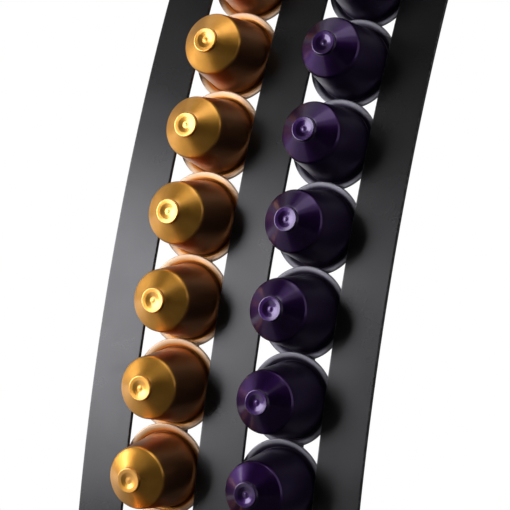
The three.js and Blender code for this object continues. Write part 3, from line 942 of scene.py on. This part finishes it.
def coloured_aluminium(groups, name, colours, rim_sheen, gloss, wall_metal):
    """Drawn aluminium under a clear coloured lacquer. Fine rings from the drawing run round the cup.
    The colour drifts a little between deep and light, and changes with the distance from the axis:
    the side wall has a duller tone that paints in the reflections seen on it, a painted shade darkens
    the hollow by the flange, the flange's web is its lacquer darkened in part by painted shade, and the
    rim is painted pale as the reflection along it and made matt metal. The gloss is highest on the nose
    ring and least on the wall."""
    made, nodes, give = material(name)
    deep, light, wall, groove_shade, web, rim = [rgb(*colour) for colour in colours]
    own = nodes.attribute("own", "Vector")
    from_axis = nodes.attribute("from_axis")
    marks = nodes.group(groups["handling"], Place=own, Smudge_Scale=120.0, Line_Scale=150.0)
    drift = nodes.spread(nodes.noise(own, 160.0, detail=4.0), 0.3, 0.7)
    colour = nodes.mix_colour(drift, deep, light)
    faint_lines = nodes.math("MULTIPLY", marks["Hairlines"], 0.15)
    colour = nodes.mix_colour(faint_lines, colour, rim)
    # The wall's tone paints in reflections; the hollow by the flange and, in part, the web are darkened
    # as painted shade.
    for zone, tone in ((CONE_TO_WALL, wall), (WALL_TO_GROOVE_SHADE, groove_shade), (GROOVE_SHADE_TO_WEB, web)):
        colour = nodes.mix_colour(nodes.spread(from_axis, *zone), colour, tone)
    # The rim is painted pale as the reflection along it, and made matt metal.
    wobbling = nodes.scaled_sum(nodes.noise(own, 900.0), RIM_SHEEN_WOBBLE, from_axis)
    rim_sheen_mask = nodes.spread(wobbling, *rim_sheen)
    colour = nodes.mix_colour(rim_sheen_mask, colour, rim)
    ring_gloss = nodes.spread(from_axis, *RING_TO_CONE, 1.0, gloss)
    wall_gloss = nodes.spread(from_axis, *CONE_TO_WALL_GLOSS, 1.0, 0.12)
    give(Base_Color=colour, Coat_Weight=nodes.math("MULTIPLY", ring_gloss, wall_gloss))
    metal = nodes.spread(from_axis, *CONE_TO_WALL, 1.0, wall_metal)
    give(Metallic=nodes.math("MAXIMUM", rim_sheen_mask, metal), Coat_Roughness=0.17, Coat_IOR=1.5)
    rings = nodes.noise(nodes.stretched(own, (1.0, 1.0, 26.0)), 260.0, detail=3.0)
    pebble = nodes.noise(own, 3500.0, detail=2.0)
    relief = nodes.scaled_sum(rings, 0.5, nodes.math("MULTIPLY", pebble, 0.5))
    dulled = nodes.math("MULTIPLY", marks["Smudges"], 0.05)
    rough = nodes.scaled_sum(rim_sheen_mask, 0.2, nodes.scaled_sum(drift, 0.03, dulled))
    give(Normal=nodes.bump(relief, 0.000006), Roughness=nodes.math("ADD", rough, 0.37))
    return made


def lid_foil():
    """Matt rolled foil under a thin seal coat, with a pressed pebble pattern and the straight lines
    of rolling."""
    made, nodes, give = material("lid_foil")
    own = nodes.attribute("own", "Vector")
    cells = nodes.add("ShaderNodeTexVoronoi", {"Vector": own, "Scale": 900.0}).outputs["Distance"]
    lines = nodes.noise(nodes.stretched(own, (40.0, 1.0, 1.0)), 60.0, detail=4.0)
    relief = nodes.scaled_sum(lines, 0.3, cells)
    tint = nodes.mix_colour(lines, rgb(0.70, 0.70, 0.71), rgb(0.82, 0.82, 0.82))
    rough = nodes.spread(nodes.noise(own, 90.0), 0.3, 0.7, 0.36, 0.48)
    give(Base_Color=tint, Metallic=0.4, Roughness=rough, Normal=nodes.bump(relief, 0.00004, 0.6))
    return made


def zinc_steel(groups):
    """Zinc plating: pale and slightly blotched, with a fine matt tooth and darker smudges."""
    made, nodes, give = material("zinc_steel")
    place = nodes.object_place()
    skin = nodes.group(groups["skin"], Place=place, Peel_Scale=2600.0, Tooth_Scale=9000.0, Depth=0.00001)
    marks = nodes.group(groups["handling"], Place=place, Smudge_Scale=500.0)
    blotch = nodes.spread(nodes.noise(place, 420.0, detail=4.0), 0.35, 0.65)
    tint = nodes.mix_colour(blotch, rgb(0.42, 0.42, 0.43), rgb(0.56, 0.56, 0.55))
    smudged = nodes.math("MULTIPLY", marks["Smudges"], 0.4)
    tint = nodes.mix_colour(smudged, tint, rgb(0.33, 0.32, 0.30))
    rough = nodes.scaled_sum(blotch, 0.12, 0.30)
    give(Base_Color=tint, Metallic=1.0, Roughness=rough, Normal=skin["Normal"])
    return made


def black_rubber(groups):
    """Moulded rubber: matt, with a fine tooth and a little pale dust."""
    made, nodes, give = material("black_rubber")
    place = nodes.object_place()
    skin = nodes.group(groups["skin"], Place=place, Peel_Scale=1500.0, Tooth_Scale=7000.0, Depth=0.00003)
    dust = nodes.spread(nodes.noise(place, 260.0, detail=5.0, roughness=0.65), 0.5, 0.75)
    thin_dust = nodes.math("MULTIPLY", dust, 0.3)
    tint = nodes.mix_colour(thin_dust, rgb(0.016, 0.016, 0.016), rgb(0.07, 0.068, 0.065))
    rough = nodes.scaled_sum(dust, 0.1, 0.75)
    give(Base_Color=tint, Roughness=rough, Normal=skin["Normal"])
    return made


# The studio.

VIEW_FROM = Vector((0.5447, -0.98253, 0.44778))
VIEW_TOWARDS = Vector((-0.4820354, 0.85715661, -0.18145089))
LENS = 201.58
SENSOR_WIDTH = 36
CLIP_END = 50
STUDIO_CENTRE = Vector((0, -0.03, 0.25))
LAMP_WATTS = 4
CARD_GRID = (25, 13)
FLOOR_HALF_SIZE = 12.0
FLOOR_FADE = (0.22, 0.42)
FLOOR_CARD_HEIGHT = 1.5 * MM


def direction(azimuth, elevation):
    """The way out from the object: azimuth 0 is the front and 90 its right side, in degrees."""
    a, e = math.radians(azimuth), math.radians(elevation)
    return Vector((math.sin(a) * math.cos(e), -math.cos(a) * math.cos(e), math.sin(e)))


def aimed(name, data, place, towards):
    """A camera or lamp at a place that looks along a direction."""
    made = placed(name, data)
    made.location = place
    made.rotation_mode = "QUATERNION"
    made.rotation_quaternion = towards.to_track_quat("-Z", "Y")
    return made


def add_camera():
    """The camera at the photograph's viewing angle."""
    data = bpy.data.cameras.new("view")
    data.lens, data.sensor_width, data.clip_end = LENS, SENSOR_WIDTH, CLIP_END
    bpy.context.scene.camera = aimed("view", data, VIEW_FROM, VIEW_TOWARDS)


def softbox(name, azimuth, elevation, distance, width, height, radiance, colour=(1, 1, 1)):
    """A rectangular lamp that faces the object from a direction. LAMP_WATTS are what a square metre
    needs for a radiance of 1."""
    data = bpy.data.lights.new(name, "AREA")
    data.shape, data.size, data.size_y = "RECTANGLE", width, height
    data.energy = radiance * LAMP_WATTS * width * height
    data.color = colour
    out = direction(azimuth, elevation)
    return aimed(name, data, STUDIO_CENTRE + out * distance, -out)


def card(name, azimuths, elevations, distance, low, high):
    """A curved card as a patch of a sphere about the object, graded from its lower to its upper edge:
    x = d sin a cos e, y = -d cos a cos e, z = d sin e."""
    a = np.radians(np.linspace(*azimuths, CARD_GRID[0]))[:, None]
    e = np.radians(np.linspace(*elevations, CARD_GRID[1]))[None, :]
    out = np.stack([np.sin(a) * np.cos(e), -np.cos(a) * np.cos(e), np.sin(e) + 0 * a], axis=-1)
    hang_card(name, np.array(STUDIO_CENTRE) + out * distance, low, high)


def floor_card(name, azimuths, distances, near, far):
    """A card on the floor, as a ring sector about the object, x = d sin a and y = -d cos a, graded
    from its inner to its outer edge."""
    a = np.radians(np.linspace(*azimuths, CARD_GRID[0]))[:, None]
    d = np.linspace(*distances, CARD_GRID[1])[None, :]
    height = FLOOR_CARD_HEIGHT + 0 * a * d
    hang_card(name, np.stack([d * np.sin(a), -d * np.cos(a), height], axis=-1), near, far)


def hang_card(name, grid, start, end):
    """A card that shows only in reflections, in the grey of its radiance, which runs from start to
    end over its columns."""
    shade = np.linspace(start, end, grid.shape[1])[None, :]
    made, nodes = blank(name)
    grey = nodes.add("ShaderNodeEmission", {"Strength": nodes.attribute("shade")})
    nodes.end(grey)
    hung = dressed(name, Surface().add(grid, shade=shade), made)
    hung.visible_camera = False
    hung.visible_diffuse = False
    hung.visible_shadow = False


def seen_directly(nodes):
    """1 for camera, glossy and transmission rays, and 0 for the rays that light things."""
    path = nodes.add("ShaderNodeLightPath").outputs
    seen = nodes.math("MAXIMUM", path["Is Camera Ray"], path["Is Glossy Ray"])
    return nodes.math("MAXIMUM", seen, path["Is Transmission Ray"])


def add_world(ambient):
    """White where it is seen, and a plain even level where it lights."""
    world = bpy.data.worlds.new("studio")
    bpy.context.scene.world = world
    world.use_nodes = True
    nodes = Nodes(world.node_tree)
    lighting, white = [
        nodes.add("ShaderNodeBackground", {"Color": rgb(1, 1, 1), "Strength": strength})
        for strength in (ambient, 1.0)
    ]
    nodes.end(nodes.mix_shaders(seen_directly(nodes), lighting, white), "ShaderNodeOutputWorld")


def add_floor():
    """A pale, faintly mottled floor that takes the shadow near the object. Farther out it fades to
    plain white for the rays that see it, and still lights things as the pale floor does."""
    s = FLOOR_HALF_SIZE
    corners = np.array([[[-s, -s, 0], [s, -s, 0]], [[-s, s, 0], [s, s, 0]]])
    made, nodes = blank("floor")
    place = nodes.object_place()
    out = nodes.add("ShaderNodeVectorMath", {0: place}, operation="LENGTH").outputs["Value"]
    mottle = nodes.spread(nodes.noise(place, 9.0, detail=3.0), 0.3, 0.7)
    pale = nodes.mix_colour(mottle, rgb(0.80, 0.80, 0.80), rgb(0.84, 0.84, 0.84))
    lit = nodes.add("ShaderNodeBsdfDiffuse", {"Color": pale})
    white = nodes.add("ShaderNodeEmission", {"Color": rgb(1, 1, 1), "Strength": 1.0})
    far = nodes.math("MULTIPLY", nodes.spread(out, *FLOOR_FADE), seen_directly(nodes))
    nodes.end(nodes.mix_shaders(far, lit, white))
    floor = dressed("floor", Surface().add(corners), made)


def add_studio():
    """A large soft lamp at the front left, a weak one above, and one behind that the camera and the
    reflections don't see. Cards, seen in reflections alone, set what the sheet and the capsules
    mirror: dark at the front right, over the large lamp, behind and on the floor there, mid grey at
    the left, pale above on the right, and on the left floor paler the farther out."""
    add_world(ambient=0.35)
    add_floor()
    softbox("front_left_softbox", -54.5, 14, 0.8, 0.68, 0.46, 6.2, (0.945, 0.94, 1.0))
    softbox("top_softbox", 60, 74, 1.1, 0.5, 0.5, 1.6)
    rear = softbox("rear_softbox", 195, 16, 1.2, 0.7, 0.7, 2.2)
    rear.visible_camera = False
    rear.visible_glossy = False
    card("right_card", (-30, 80), (-30, 46), 1.7, 0.03, 0.03)
    card("upper_card", (-95, 25), (42, 75), 1.9, 0.02, 0.02)
    card("left_card", (-150, -28), (-30, 44), 1.8, 0.2, 0.4)
    card("fill_card", (25, 100), (46, 75), 1.9, 0.68, 0.68)
    card("back_card", (118, 210), (-30, 70), 1.8, 0.1, 0.1)
    floor_card("back_floor_card", (118, 210), (0.02, 1.6), 0.05, 0.05)
    floor_card("front_floor_card", (-20, 110), (0.02, 1.6), 0.08, 0.08)
    floor_card("left_floor_card", (-150, -20), (0.02, 0.6), 0.15, 0.9)


# The colours of each kind of cup, from the cone outwards: deep and light tones of the cone, the wall's
# duller tone that paints in reflections, the painted shade of the hollow by the flange, the flange's
# web, its lacquer darkened in part by painted shade, and the rim's pale painted reflection.
GOLD_TONES = (
    (0.64, 0.295, 0.042), (0.72, 0.345, 0.054), (0.55, 0.24, 0.10),
    (0.12, 0.040, 0.010), (0.38, 0.17, 0.038), (0.60, 0.44, 0.30),
)
VIOLET_TONES = (
    (0.021, 0.004, 0.048), (0.029, 0.006, 0.064), (0.034, 0.020, 0.060),
    (0.008, 0.004, 0.014), (0.014, 0.009, 0.021), (0.22, 0.215, 0.24),
)
# Where the rim's pale painted reflection starts and where it is full, as distances from a cup's axis.
GOLD_RIM_SHEEN = (16.1 * MM, 18.1 * MM)
VIOLET_RIM_SHEEN = (16.4 * MM, 17.8 * MM)


def main():
    bpy.context.scene.view_settings.view_transform = "Standard"
    add_camera()
    add_studio()
    groups = {"skin": paint_skin_group(), "handling": handling_group(), "rubbed": rubbed_group()}
    black = black_lacquer(groups, "black_lacquer", (0.0022, 0.0022, 0.0025), 0.27)
    guide_black = black_lacquer(groups, "guide_lacquer", (0.008, 0.008, 0.0086), 0.38)
    steel = zinc_steel(groups)
    build_sheet(black, steel)
    build_guides(guide_black, steel)
    build_base(black, black_rubber(groups), steel)
    gold = coloured_aluminium(
        groups, "gold_aluminium", GOLD_TONES, GOLD_RIM_SHEEN, gloss=0.35, wall_metal=1.0
    )
    violet = coloured_aluminium(
        groups, "violet_aluminium", VIOLET_TONES, VIOLET_RIM_SHEEN, gloss=0.45, wall_metal=0.75
    )
    build_capsules({"gold": gold, "violet": violet}, lid_foil())


main()
